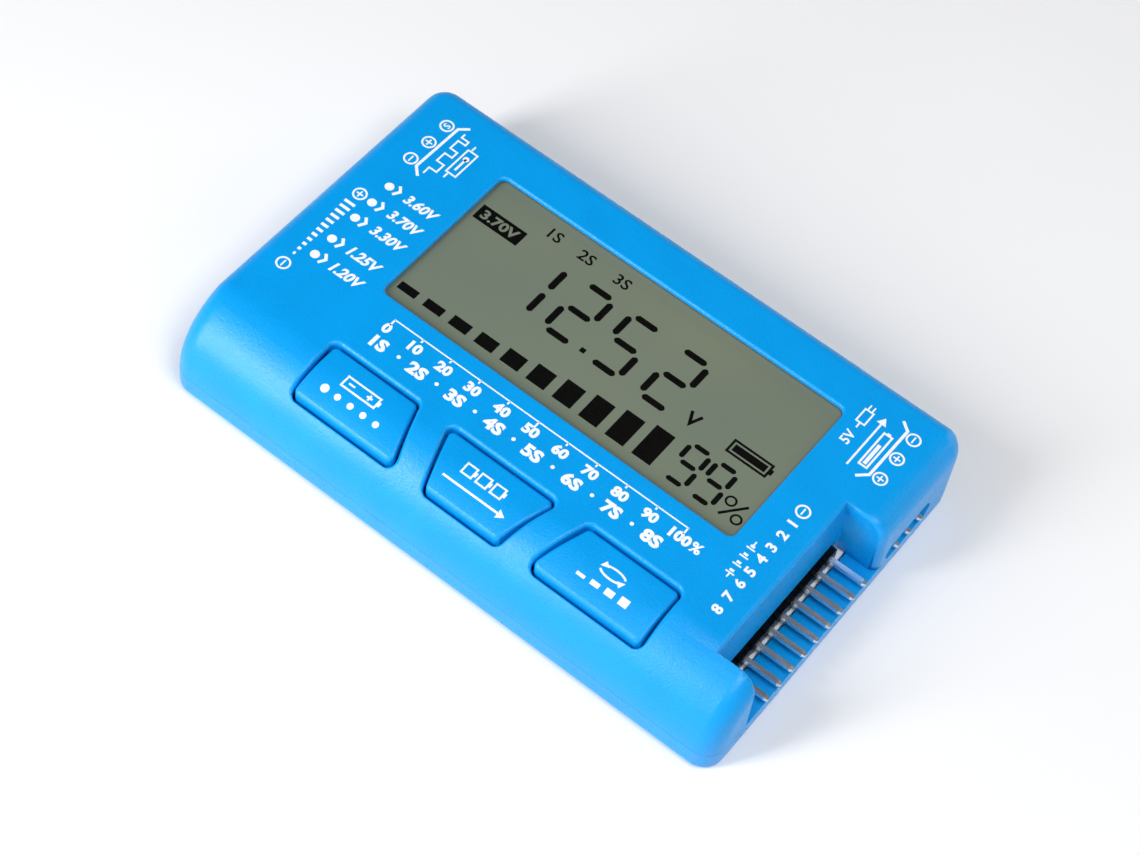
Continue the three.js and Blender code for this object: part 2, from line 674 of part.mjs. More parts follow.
const FINISHES = {
  shell: { color: 0x0b93e6, roughness: 0.42, metalness: 0 },
  key: { color: 0x0b93e6, roughness: 0.42, metalness: 0 },
  black: { color: 0x15161a, roughness: 0.4, metalness: 0 },
  steel: { color: 0xb9bcc0, roughness: 0.28, metalness: 1 },
  film: { color: 0x788272, roughness: 0.25, metalness: 0 },
  glass: { color: 0x9fb0a6, roughness: 0.08, metalness: 0 },
  reflector: { color: 0xb4b9ae, roughness: 0.35, metalness: 0.4 },
  rubber: { color: 0x33353a, roughness: 0.8, metalness: 0 },
  board: { color: 0x155c34, roughness: 0.45, metalness: 0 },
  ivory: { color: 0xd9d6cb, roughness: 0.5, metalness: 0 },
};

const device = new THREE.Group();

function addPiece(name, solid, finish) {
  const material = new THREE.MeshStandardMaterial(FINISHES[finish]);
  const mesh = new THREE.Mesh(geometryOf(solid), material);
  mesh.name = name;
  device.add(mesh);
}

addPiece('top_shell', topShell(), 'shell');
addPiece('bottom_shell', bottomShell(), 'shell');

KEYS.forEach((key) => {
  addPiece(`keycap_${key.name}`, keycap(key), 'key');
  addPiece(`key_plunger_${key.name}`, switchPlunger(key), 'black');
  addPiece(`key_switch_${key.name}`, switchBody(key), 'steel');
});

addPiece('display_polariser', displayPolariser(), 'film');
addPiece('display_cell', centredBox(DISPLAY_CENTRE, [cellWidth, cellHeight],
  cellTop - CELL_THICKNESS, cellTop), 'glass');
addPiece('display_reflector', displayReflector(), 'reflector');
addPiece('display_holder', displayHolder(), 'ivory');
addPiece('contact_strip_front', zebraStrip(-1), 'rubber');
addPiece('contact_strip_back', zebraStrip(1), 'rubber');

addPiece('main_board', board(), 'board');
const connectors = [
  { name: 'balance', side: 1, count: BALANCE_PIN_COUNT, y: BALANCE_CENTRE_Y },
  { name: 'power', side: 1, count: SERVO_PIN_COUNT, y: POWER_CENTRE_Y },
  { name: 'servo', side: -1, count: SERVO_PIN_COUNT, y: SERVO_CENTRE_Y },
];
connectors.forEach(({ name, side, count, y }) => {
  addPiece(`${name}_header`, header(side, count, y), 'black');
  pinPlaces(count, y).forEach((pinY, index) => {
    addPiece(`${name}_pin_${count - index}`, pin(side, pinY), 'steel');
  });
});

addPiece('adjust_wheel', adjustWheel(), 'black');
addPiece('adjust_pot', adjustPot(), 'ivory');
addPiece('microcontroller', chip(CONTROLLER_CENTRE, CONTROLLER_SIZE), 'black');
addPiece('voltage_regulator', chip(REGULATOR_CENTRE, REGULATOR_SIZE), 'black');
for (let index = 0; index < RESISTOR_COUNT; index += 1) {
  addPiece(`discharge_resistor_${RESISTOR_COUNT - index}`, chip(resistorPlace(index), RESISTOR_SIZE), 'black');
}
screwPlaces.forEach((where, index) => addPiece(`case_screw_${index + 1}`, screw(where), 'steel'));

export default device;
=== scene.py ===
"""Looks of the handheld battery checker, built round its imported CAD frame.

Shapes are made in millimetres and scaled to metres when they become objects.
"""

import math

import bmesh
import bpy
from mathutils import Matrix, Vector


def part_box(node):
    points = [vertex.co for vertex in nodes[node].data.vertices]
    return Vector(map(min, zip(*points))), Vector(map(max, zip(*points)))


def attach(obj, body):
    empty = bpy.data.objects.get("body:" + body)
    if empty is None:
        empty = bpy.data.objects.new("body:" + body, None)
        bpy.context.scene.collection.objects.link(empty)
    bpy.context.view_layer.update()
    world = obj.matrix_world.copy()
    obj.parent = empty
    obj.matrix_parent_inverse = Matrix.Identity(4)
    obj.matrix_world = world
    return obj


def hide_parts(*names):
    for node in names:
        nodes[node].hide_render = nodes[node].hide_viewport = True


MM = 0.001
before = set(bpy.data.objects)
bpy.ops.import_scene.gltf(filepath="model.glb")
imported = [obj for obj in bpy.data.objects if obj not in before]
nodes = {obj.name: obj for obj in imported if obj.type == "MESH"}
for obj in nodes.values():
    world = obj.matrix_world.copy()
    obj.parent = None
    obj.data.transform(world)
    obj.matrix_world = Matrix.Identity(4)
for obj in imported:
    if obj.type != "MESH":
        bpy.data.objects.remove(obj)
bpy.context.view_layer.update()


def size_mm(node):
    low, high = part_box(node)
    return low / MM, high / MM


# ---------------------------------------------------------------- sizes from the frame

case_low, case_high = size_mm("top_shell")
base_high = size_mm("bottom_shell")[1]
film_low, film_high = size_mm("display_polariser")
HALF_LENGTH = case_high.x
HALF_WIDTH = case_high.y
TOP = case_high.z
PARTING = (case_low.z + base_high.z) / 2
SLOPE_RADIUS = TOP - PARTING
SLOPE_START = SLOPE_RADIUS - HALF_WIDTH
# the smooth skin lies this far inside the CAD faces
SKIN = 0.03
PRINT_DEPTH = 0.02
PLAN_RADIUS = 2.9
TOP_RADIUS = 2.0
SHOULDER_RADIUS = 3.0
BASE_RADIUS = 1.1
# how far the right wall leans in, and over what height
SHOULDER_DRAFT = 0.2
DRAFT_HEIGHT = 6.3
SEAM = 0.05
WELD = 0.004
SIDES = ("left", "centre", "right")
FILM_TOP = film_high.z
PRINT_TOP = TOP - SKIN + PRINT_DEPTH


# ---------------------------------------------------------------- mesh helpers


def new_object(name, bm, smooth=True):
    """A mesh object in metres from a bmesh in millimetres."""
    mesh = bpy.data.meshes.new(name)
    bm.to_mesh(mesh)
    bm.free()
    mesh.transform(Matrix.Scale(MM, 4))
    obj = bpy.data.objects.new(name, mesh)
    bpy.context.scene.collection.objects.link(obj)
    if smooth:
        mesh.shade_smooth()
    return obj


def scratch_object(name, bm):
    """A temporary object left in millimetres, for use as a boolean operand."""
    mesh = bpy.data.meshes.new(name)
    bm.to_mesh(mesh)
    bm.free()
    obj = bpy.data.objects.new(name, mesh)
    bpy.context.scene.collection.objects.link(obj)
    return obj


def node_bmesh(node):
    """A copy of a CAD node's mesh, in millimetres, with its flat faces joined up."""
    bm = bmesh.new()
    bm.from_mesh(nodes[node].data)
    bmesh.ops.scale(bm, vec=(1 / MM,) * 3, verts=bm.verts)
    bmesh.ops.remove_doubles(bm, verts=bm.verts, dist=0.001)
    return bm


def join_flats(bm):
    limit = math.radians(0.4)
    bmesh.ops.dissolve_limit(bm, angle_limit=limit, verts=bm.verts, edges=bm.edges)


def boolean(bm_a, bm_b, operation):
    """The two bmeshes combined, as a new bmesh."""
    a = scratch_object("operand_a", bm_a)
    b = scratch_object("operand_b", bm_b)
    modifier = a.modifiers.new("cut", "BOOLEAN")
    modifier.operation = operation
    modifier.solver = "EXACT"
    modifier.object = b
    graph = bpy.context.evaluated_depsgraph_get()
    result = bmesh.new()
    result.from_mesh(a.evaluated_get(graph).to_mesh())
    for obj in (a, b):
        mesh = obj.data
        bpy.data.objects.remove(obj)
        bpy.data.meshes.remove(mesh)
    return result


def sharp_edges(bm, degrees, test):
    """Convex or concave edges bent by more than an angle whose middle passes a test."""
    limit = math.radians(degrees)
    found = []
    for edge in bm.edges:
        if len(edge.link_faces) != 2:
            continue
        if edge.calc_face_angle(0) < limit:
            continue
        middle = (edge.verts[0].co + edge.verts[1].co) / 2
        if test(middle):
            found.append(edge)
    return found


def round_edges(bm, edges, width, segments=4):
    if edges:
        bmesh.ops.bevel(
            bm,
            geom=edges,
            offset=width,
            offset_type="OFFSET",
            segments=segments,
            profile=0.5,
            affect="EDGES",
            clamp_overlap=False,
        )


def finish_shading(obj):
    obj.data.shade_smooth()
    obj.data.set_sharp_from_angle(angle=math.radians(50))
    modifier = obj.modifiers.new("even shading", "WEIGHTED_NORMAL")
    modifier.keep_sharp = True
    modifier.weight = 80
    modifier.mode = "FACE_AREA"


def loft(rings):
    """A closed solid through rings of the same number of points, lowest first."""
    bm = bmesh.new()
    loops = [[bm.verts.new(point) for point in ring] for ring in rings]
    count = len(loops[0])
    for lower, upper in zip(loops, loops[1:]):
        for i in range(count):
            j = (i + 1) % count
            bm.faces.new((lower[i], lower[j], upper[j], upper[i]))
    bm.faces.new(tuple(reversed(loops[0])))
    bm.faces.new(tuple(loops[-1]))
    bmesh.ops.recalc_face_normals(bm, faces=bm.faces)
    return bm


def corner_ring(z, left, right, front, back, radii, steps=9):
    """A rounded rectangle; radii are (along x, along y) from front left, anticlockwise."""
    corners = [
        (left, front, 1, 1, 180),
        (right, front, -1, 1, 270),
        (right, back, -1, -1, 0),
        (left, back, 1, -1, 90),
    ]
    points = []
    for (x, y, sx, sy, start), (rx, ry) in zip(corners, radii):
        for step in range(steps + 1):
            angle = math.radians(start + 90 * step / steps)
            points.append(
                (
                    x + sx * rx + rx * math.cos(angle),
                    y + sy * ry + ry * math.sin(angle),
                    z,
                )
            )
    return points


def edge_inset(z, top, radius):
    rise = z - (top - radius)
    if rise <= 0:
        return 0.0
    return radius - math.sqrt(max(radius * radius - rise * rise, 0.0))


def rounded_levels(top, radius, angles):
    """Heights on a quarter round below a top, one for each angle from the horizontal."""
    return [top - radius + radius * math.sin(math.radians(angle)) for angle in angles]


# ---------------------------------------------------------------- outer skin of the case


def case_skin():
    """The smooth outside of the whole case above the base, slightly inside the CAD faces."""
    top = TOP - SKIN
    slope_low = top - SLOPE_RADIUS
    # no level lies close to the front edge of the key openings, where it would fold their bevel
    levels = [-1, PARTING, 4.8, 6.0, 7.2, 8.2, 8.9, 9.54]
    levels += rounded_levels(top, SHOULDER_RADIUS, (12, 23, 36, 48, 58))
    levels += rounded_levels(top, TOP_RADIUS, (49, 60, 70, 79, 86, 90))
    rings = []
    for z in sorted(levels):
        drop = SLOPE_RADIUS
        if z >= slope_low:
            drop = math.sqrt(max(SLOPE_RADIUS**2 - (z - slope_low) ** 2, 0))
        front_inset = SLOPE_RADIUS - drop
        side = edge_inset(z, top, TOP_RADIUS)
        right = right_inset(z, top)
        front_y = min(PLAN_RADIUS * SLOPE_RADIUS / max(drop, 0.1), max(drop, 0.05))
        left_x = max(PLAN_RADIUS - side, 0.3)
        right_x = max(PLAN_RADIUS - right, 0.3)
        back_y = max(PLAN_RADIUS - side, 0.3)
        rings.append(
            corner_ring(
                z,
                -HALF_LENGTH + SKIN + side,
                HALF_LENGTH - SKIN - right,
                -HALF_WIDTH + SKIN + front_inset,
                HALF_WIDTH - SKIN - side,
                [(left_x, front_y), (right_x, front_y), (right_x, back_y), (left_x, back_y)],
            )
        )
    return loft(rings)


def base_skin():
    """The outside of the base, rounded below, with walls that go on past the parting line."""
    rings = []
    for degrees in (0, 22, 45, 67, 90):
        rise = BASE_RADIUS * (1 - math.cos(math.radians(degrees)))
        inset = BASE_RADIUS * (1 - math.sin(math.radians(degrees))) + SKIN
        radius = PLAN_RADIUS - inset
        rings.append(
            corner_ring(
                rise,
                -HALF_LENGTH + inset,
                HALF_LENGTH - inset,
                -HALF_WIDTH + inset,
                HALF_WIDTH - inset,
                [(radius, radius)] * 4,
            )
        )
    rings.append([(x, y, PARTING + 2) for x, y, _ in rings[-1]])
    return loft(rings)


def right_inset(z, top):
    """How far the right wall stands in from the full length at a height."""
    draft = SHOULDER_DRAFT * min(max((z - PARTING) / DRAFT_HEIGHT, 0), 1)
    return edge_inset(z, top, SHOULDER_RADIUS) + draft


def skin_height(y):
    """Height of the smooth top at a distance across the case."""
    if y >= SLOPE_START:
        return TOP - SKIN
    run = SLOPE_START - y
    return TOP - SKIN - SLOPE_RADIUS + math.sqrt(max(SLOPE_RADIUS**2 - run * run, 0))


def close_seam(bm, old, new):
    """Moves a shell's parting face to its side of the hairline between the shells."""
    for vert in bm.verts:
        if abs(vert.co.z - old) < 0.01:
            vert.co.z = new


# the balance header's notch: its two ends along y, and its wall, which leans out below
NOTCH_ENDS = (-18.3, 7.7)
NOTCH_WALL_TOP = 34.95
NOTCH_WALL_LOW = 35.65
NOTCH_WALL_BEND = 6.27
NOTCH_LIP = 0.55
NOTCH_CORNER = 1.1
NOTCH_CORNER_STEPS = 8


def notch_cutter():
    """The room in the notch, flared where its walls meet the outside of the case."""
    top = TOP - SKIN
    clear = 0.01
    beyond = HALF_LENGTH + 4
    wall_slope = (NOTCH_WALL_LOW - NOTCH_WALL_TOP) / (TOP - NOTCH_WALL_BEND)
    front, back = NOTCH_ENDS
    levels = [PARTING - 1, 4.5, 5.6, NOTCH_WALL_BEND, 7.6, 8.8, 9.9]
    levels += [10.3 + 0.3 * step for step in range(6)]
    levels += rounded_levels(top, NOTCH_LIP, (0, 14, 28, 42, 55, 67, 78, 90))
    levels += [TOP + 0.5]
    rings = []
    for z in levels:
        wall = NOTCH_WALL_LOW - wall_slope * max(z - NOTCH_WALL_BEND, 0)
        inner = wall + clear - edge_inset(z, top, NOTCH_LIP)
        outer = HALF_LENGTH - SKIN - right_inset(min(z, top), top)
        front_at = front + clear - edge_inset(z, skin_height(front), NOTCH_LIP)
        back_at = back - clear + edge_inset(z, top, NOTCH_LIP)
        arc = []
        for step in range(NOTCH_CORNER_STEPS + 1):
            angle = math.radians(90 * step / NOTCH_CORNER_STEPS)
            along = outer - NOTCH_CORNER + NOTCH_CORNER * math.sin(angle)
            arc.append((along, NOTCH_CORNER * (1 - math.cos(angle))))
        ring = [(inner, back_at), (inner, front_at)]
        ring += [(x, front_at - flare) for x, flare in arc]
        ring += [(beyond, front_at - NOTCH_CORNER), (beyond, back_at + NOTCH_CORNER)]
        ring += [(x, back_at + flare) for x, flare in reversed(arc)]
        rings.append([(x, y, z) for x, y in ring])
    return loft(rings)


# x and y limits of the area that holds the three key openings
KEY_ZONE = (-26.5, 29.5, -24.3, -13.5)
WINDOW_LIP = 0.4
KEY_LIP = 0.5
LIP_BEND = 35


def in_keys(point):
    low_x, high_x, low_y, high_y = KEY_ZONE
    inside = low_x < point.x < high_x and low_y < point.y < high_y
    return inside and abs(point.z - skin_height(point.y)) < 0.06


def in_window(point):
    margin = 1.6
    inside_x = film_low.x - margin < point.x < film_high.x + margin
    inside_y = film_low.y - margin < point.y < film_high.y + margin
    return inside_x and inside_y and point.z > TOP - SKIN - 0.05


def top_case():
    bm = boolean(node_bmesh("top_shell"), case_skin(), "INTERSECT")
    bm = boolean(bm, notch_cutter(), "DIFFERENCE")
    bmesh.ops.remove_doubles(bm, verts=bm.verts, dist=WELD)
    join_flats(bm)
    round_edges(bm, sharp_edges(bm, LIP_BEND, in_window), WINDOW_LIP)
    round_edges(bm, sharp_edges(bm, LIP_BEND, in_keys), KEY_LIP)
    close_seam(bm, case_low.z, PARTING + SEAM / 2)
    return new_object("top_case", bm)


def bottom_case():
    bm = boolean(node_bmesh("bottom_shell"), base_skin(), "INTERSECT")
    bmesh.ops.remove_doubles(bm, verts=bm.verts, dist=WELD)
    join_flats(bm)
    close_seam(bm, base_high.z, PARTING - SEAM / 2)
    return new_object("bottom_case", bm)


top = top_case()
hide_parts("top_shell")
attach(top, "case")
finish_shading(top)
bottom = bottom_case()
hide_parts("bottom_shell")
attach(bottom, "case")
finish_shading(bottom)


# ---------------------------------------------------------------- keycaps

KEY_EDGE = 0.4
KEY_BEND = 40
# the edges down to this depth below the highest point are rounded
KEY_ROUNDED_DEPTH = 1.9
for side in SIDES:
    cad = f"keycap_{side}"
    bm = node_bmesh(cad)
    join_flats(bm)
    rounded_from = size_mm(cad)[1].z - KEY_ROUNDED_DEPTH
    edges = sharp_edges(bm, KEY_BEND, lambda point: point.z > rounded_from)
    round_edges(bm, edges, KEY_EDGE)
    cap = new_object(f"key_{side}", bm)
    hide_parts(cad)
    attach(cap, f"key_{side}")
    finish_shading(cap)


# ---------------------------------------------------------------- headers

PITCH = 2.54
PIN_WIDTH = 0.64
PIN_HOLE_GAP = 0.03
BLOCK_NOTCH = 0.42
BLOCK_EDGE = 0.06
HEADERS = (("balance", 9), ("power", 3), ("servo", 3))


def header_block(name, count):
    """A black strip with a notch between every two positions and a square hole for each pin."""
    low, high = size_mm(f"{name}_header")
    notch = BLOCK_NOTCH
    ends = [low.y + index * PITCH for index in range(count + 1)]
    lower, upper = [], []
    for start, end in zip(ends, ends[1:]):
        lower += [(start, low.z + notch), (start + notch, low.z), (end - notch, low.z)]
        upper += [(start, high.z - notch), (start + notch, high.z), (end - notch, high.z)]
    lower.append((ends[-1], low.z + notch))
    upper.append((ends[-1], high.z - notch))
    outline = lower + list(reversed(upper))
    bm = loft([[(x, y, z) for y, z in reversed(outline)] for x in (low.x, high.x)])
    edges = [e for e in bm.edges if abs(e.verts[0].co.x - e.verts[1].co.x) < 0.01]
    round_edges(bm, edges, BLOCK_EDGE, 2)
    half = PIN_WIDTH / 2 + PIN_HOLE_GAP
    middle = (low.z + high.z) / 2
    for start in ends[:-1]:
        y = start + PITCH / 2
        square = [
            (y - half, middle - half), (y + half, middle - half),
            (y + half, middle + half), (y - half, middle + half),
        ]
        hole = loft([[(x, a, b) for a, b in square] for x in (low.x - 1, high.x + 1)])
        bm = boolean(bm, hole, "DIFFERENCE")
    return new_object(f"{name}_header_block", bm, smooth=False)


for name, count in HEADERS:
    block = header_block(name, count)
    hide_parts(f"{name}_header")
    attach(block, "case")


def soften(node, width_mm, segments=2):
    """Rounds the edges of a CAD node that stays in view."""
    bevel = nodes[node].modifiers.new("rounded edges", "BEVEL")
    bevel.width = width_mm * MM
    bevel.segments = segments
    bevel.limit_method = "ANGLE"
    bevel.angle_limit = math.radians(40)


for name, count in HEADERS:
    for index in range(1, count + 1):
        soften(f"{name}_pin_{index}", 0.1, 3)
SOFT_EDGES = {
    "adjust_wheel": 0.06,
    "adjust_pot": 0.1,
    "microcontroller": 0.12,
    "voltage_regulator": 0.12,
}
SOFT_EDGES |= {f"case_screw_{index}": 0.05 for index in range(1, 5)}
SOFT_EDGES |= {f"key_{part}_{side}": 0.12 for part in ("switch", "plunger") for side in SIDES}
for node, width in SOFT_EDGES.items():
    soften(node, width)


# ---------------------------------------------------------------- printed shapes


class Ink:
    """Collects thin raised shapes, printed on a flat or curved face."""

    def __init__(self, top, depth=PRINT_DEPTH):
        self.bm = bmesh.new()
        self.top = top
        self.depth = depth

    def height(self, x, y):
        return self.top(x, y) if callable(self.top) else self.top

    def slab(self, faces, points):
        """A closed thin solid from flat triangles or polygons that share points."""
        over, under = [], []
        for x, y in points:
            z = self.height(x, y)
            over.append(self.bm.verts.new((x, y, z)))
            under.append(self.bm.verts.new((x, y, z - self.depth)))
        sides = {}
        for face in faces:
            self.bm.faces.new([over[i] for i in face])
            self.bm.faces.new([under[i] for i in reversed(face)])
            for i, j in zip(face, face[1:] + face[:1]):
                sides[(i, j)] = True
        for i, j in sides:
            if (j, i) not in sides:
                self.bm.faces.new((over[j], over[i], under[i], under[j]))

    def polygon(self, points):
        self.slab([list(range(len(points)))], anticlockwise(points))

    def box(self, x0, y0, x1, y1):
        self.polygon([(x0, y0), (x1, y0), (x1, y1), (x0, y1)])

    def disc(self, centre, radius):
        self.polygon(circle(centre, radius, 28))

    def ring(self, centre, radius, width):
        self.band(circle(centre, radius, 32), circle(centre, radius - width, 32))

    def cross(self, centre, arm, half):
        """A plus sign in one piece."""
        x, y = centre
        points = [
            (x - half, y - arm), (x + half, y - arm), (x + half, y - half), (x + arm, y - half),
            (x + arm, y + half), (x + half, y + half), (x + half, y + arm), (x - half, y + arm),
            (x - half, y + half), (x - arm, y + half), (x - arm, y - half), (x - half, y - half),
        ]
        faces = [[0, 1, 2, 11], [11, 2, 5, 8], [2, 3, 4, 5], [8, 5, 6, 7], [10, 11, 8, 9]]
        self.slab(faces, points)

    def band(self, outer, inner):
        """A closed stripe between two outlines with matching points, both anticlockwise."""
        count = len(outer)
        faces = []
        for i in range(count):
            j = (i + 1) % count
            faces.append([i, j, count + j, count + i])
        self.slab(faces, outer + inner)

    def line(self, points, width):
        """An open stroke through points with mitred corners."""
        left, right = [], []
        for i, point in enumerate(points):
            here = Vector(point)
            before = (here - Vector(points[i - 1])).normalized() if i else None
            after = (Vector(points[i + 1]) - here).normalized() if i + 1 < len(points) else None
            first, second = before or after, after or before
            across = Vector((-(first + second).y, (first + second).x)).normalized()
            reach = width / 2 / max(across.dot(Vector((-first.y, first.x))), 0.3)
            left.append(tuple(here + across * reach))
            right.append(tuple(here - across * reach))
        count = len(points)
        shape = right + list(reversed(left))
        faces = [[i, i + 1, 2 * count - 2 - i, 2 * count - 1 - i] for i in range(count - 1)]
        self.slab(faces, shape)

    def loop(self, points, width):
        """A closed stroke round a convex outline."""
        points = anticlockwise(points)
        self.band(grown(points, width / 2), grown(points, -width / 2))

    def arrow(self, tail, head, width, size):
        along = (Vector(head) - Vector(tail)).normalized()
        across = Vector((-along.y, along.x))
        neck = Vector(head) - along * size
        self.line([tail, tuple(neck)], width)
        self.polygon([tuple(neck - across * size * 0.6), head, tuple(neck + across * size * 0.6)])

    def text(self, words, at, height, turn=0, bold=0.0, lean=0.0, align="LEFT", squeeze=1.0):
        """Digits and signs, whose lowest left (or middle) point is at a place."""
        curve = bpy.data.curves.new("glyphs", "FONT")
        curve.body = words
        curve.offset = bold
        curve.shear = lean
        curve.resolution_u = 3
        holder = bpy.data.objects.new("glyphs", curve)
        bpy.context.scene.collection.objects.link(holder)
        graph = bpy.context.evaluated_depsgraph_get()
        graph.update()
        mesh = bpy.data.meshes.new_from_object(holder.evaluated_get(graph))
        xs = [v.co.x for v in mesh.vertices]
        ys = [v.co.y for v in mesh.vertices]
        scale = height / (max(ys) - min(ys))
        start = min(xs) if align == "LEFT" else (min(xs) + max(xs)) / 2
        angle = math.radians(turn)
        points = []
        for vert in mesh.vertices:
            x = (vert.co.x - start) * scale * squeeze
            y = (vert.co.y - min(ys)) * scale
            points.append(
                (
                    at[0] + x * math.cos(angle) - y * math.sin(angle),
                    at[1] + x * math.sin(angle) + y * math.cos(angle),
                )
            )
        faces = []
        for face in mesh.polygons:
            corners = list(face.vertices)
            faces.append(corners if face.normal.z > 0 else corners[::-1])
        self.slab(faces, points)
        bpy.data.objects.remove(holder)
        bpy.data.meshes.remove(mesh)
        bpy.data.curves.remove(curve)

    def piece(self, name, body, slot):
        bmesh.ops.recalc_face_normals(self.bm, faces=self.bm.faces)
        obj = new_object(name, self.bm, smooth=False)
        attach(obj, body)
        return obj


def circle(centre, radius, steps):
    angles = [2 * math.pi * step / steps for step in range(steps)]
    return [(centre[0] + radius * math.cos(a), centre[1] + radius * math.sin(a)) for a in angles]


def anticlockwise(points):
    area = sum(a[0] * b[1] - b[0] * a[1] for a, b in zip(points, points[1:] + points[:1]))
    return points if area > 0 else points[::-1]


def grown(points, distance):
    """A convex anticlockwise outline moved outwards."""
    result = []
    for i, point in enumerate(points):
        here = Vector(point)
        before = (here - Vector(points[i - 1])).normalized()
        after = (Vector(points[(i + 1) % len(points)]) - here).normalized()
        normals = [Vector((d.y, -d.x)) for d in (before, after)]
        middle = (normals[0] + normals[1]).normalized()
        result.append(tuple(here + middle * distance / max(middle.dot(normals[0]), 0.3)))
    return result


def battery_icon(ink, x, y, length, height, stroke, fill, turn=False):
    """A battery outline with a terminal at its far end and a filled part."""

    def block(a0, b0, a1, b1):
        corners = ((a0, b0), (a1, b0), (a1, b1), (a0, b1))
        return [(x + b, y + a) if turn else (x + a, y + b) for a, b in corners]

    ink.loop(block(0, 0, length, height), stroke)
    start = length + stroke / 2
    ink.polygon(block(start, height * 0.28, start + height * 0.18, height * 0.72))
    if fill:
        margin = stroke * 1.3
        filled = margin + (length - 2 * margin) * fill
        ink.polygon(block(margin, margin, filled, height - margin))


# ---------------------------------------------------------------- legends on the case

legend = Ink(PRINT_TOP)
STROKE = 0.25
BRACKET = 0.38
PICTURE = 0.24
THIN = 0.2
CIRCLE = 0.98
SIGN_ARM = CIRCLE * 0.52
SIGN_HALF = 0.1

SERVO_SIGNS = ((-35.88, 20.11, "S"), (-35.9, 16.51, "+"), (-35.92, 12.94, "-"))
POWER_SIGNS = ((36.05, 20.54, "-"), (36.02, 16.93, "+"), (36.05, 13.23, "+"))
ADJUST_SIGNS = ((-36.97, 4.27, "+"), (-37.0, -10.15, "-"))
BALANCE_SIGN = ((31.7, 3.27, "-"),)
BRACKETS = (
    [(-33.35, 21.7), (-34.49, 20.64), (-34.64, 12.47), (-33.52, 11.33)],
    [(33.61, 22.04), (34.81, 21.11), (34.74, 12.85), (33.49, 11.64)],
)
for x, y, sign in SERVO_SIGNS + POWER_SIGNS + ADJUST_SIGNS + BALANCE_SIGN:
    legend.ring((x, y), CIRCLE, STROKE)
    if sign == "S":
        legend.text("S", (x - 0.5, y), 1.0, turn=-90, bold=0.02, align="MIDDLE")
    elif sign == "+":
        legend.cross((x, y), SIGN_ARM, SIGN_HALF)
    else:
        legend.box(x - SIGN_HALF, y - SIGN_ARM, x + SIGN_HALF, y + SIGN_ARM)
for points in BRACKETS:
    legend.line(points, BRACKET)

# a pulse train beside the servo connector: where each pulse starts, and its width
PULSE_X = -33.3
PULSE_HEIGHT = 1.15
PULSES = ((19.9, 0.7), (17.6, 1.1), (14.9, 1.5))
pulse = [(PULSE_X, 20.6)]
for start, width in PULSES:
    pulse += [(PULSE_X, start), (PULSE_X + PULSE_HEIGHT, start)]
    pulse += [(PULSE_X + PULSE_HEIGHT, start - width), (PULSE_X, start - width)]
pulse.append((PULSE_X, 12.2))
legend.line(pulse, PICTURE)
# a servo: a body with a round horn and an arm, and a lug at each end
legend.loop([(-31.4, 18.9), (-29.9, 18.9), (-29.9, 14.4), (-31.4, 14.4)], PICTURE)
legend.disc((-30.65, 17.5), 0.42)
legend.line([(-30.65, 17.5), (-30.65, 15.2)], 0.3)
for y in (19.9, 14.2):
    legend.line([(-31.0, y), (-31.0, y - 0.8)], PICTURE)

# cell kinds, told apart by their nominal voltages: heights of the dot and the text
CELL_DOT_X = -35.0
CELL_TEXT_X = -32.4
CELL_ROWS = (
    (7.64, 6.88, "3.60V"),
    (4.24, 3.66, "3.70V"),
    (1.01, 0.39, "3.30V"),
    (-3.37, -4.01, "1.25V"),
    (-6.57, -7.28, "1.20V"),
)
CHEVRON = ((-34.0, 0.95), (-33.45, 0.22), (-33.98, -0.72))
for dot_y, text_y, volts in CELL_ROWS:
    legend.disc((CELL_DOT_X, dot_y), 0.62)
    legend.line([(x, dot_y + y) for x, y in CHEVRON], 0.4)
    legend.text(volts, (CELL_TEXT_X, text_y), 1.6, bold=0.035, lean=0.25, squeeze=0.98)

# shrinking bars between plus and minus for the adjusting wheel
for step in range(12):
    y, half = 2.4 - step * 0.95, 0.82 - step * 0.06
    legend.box(-37.0 - half, y - 0.26, -37.0 + half, y + 0.16)

# a charge scale and the cell counts take the place of the title
SCALE_X = -21.4
SCALE_STEP = 4.42
SCALE_MARKS = 11
SCALE_TEXT_Y = -9.95
COUNT_X = -20.6
COUNT_STEP = 5.85
CELL_COUNT = 8
for step in range(SCALE_MARKS):
    x = SCALE_X + step * SCALE_STEP
    longer = 0.5 if step % 5 == 0 else 0
    legend.box(x - 0.12, -8.1 - longer, x + 0.12, -7.6)
legend.box(-21.52, -7.68, 22.92, -7.5)
for step in range(SCALE_MARKS):
    place = (SCALE_X + step * SCALE_STEP, SCALE_TEXT_Y)
    legend.text(str(step * 10), place, 1.55, bold=0.05, align="MIDDLE", squeeze=1.1)
legend.text("%", (25.1, SCALE_TEXT_Y), 1.55, bold=0.03, align="MIDDLE")
for cells in range(1, CELL_COUNT + 1):
    x = COUNT_X + (cells - 1) * COUNT_STEP
    legend.text(f"{cells}S", (x, -12.5), 1.85, bold=0.05, align="MIDDLE", squeeze=1.15)
    if cells < CELL_COUNT:
        legend.disc((x + 2.95, -11.5), 0.26)

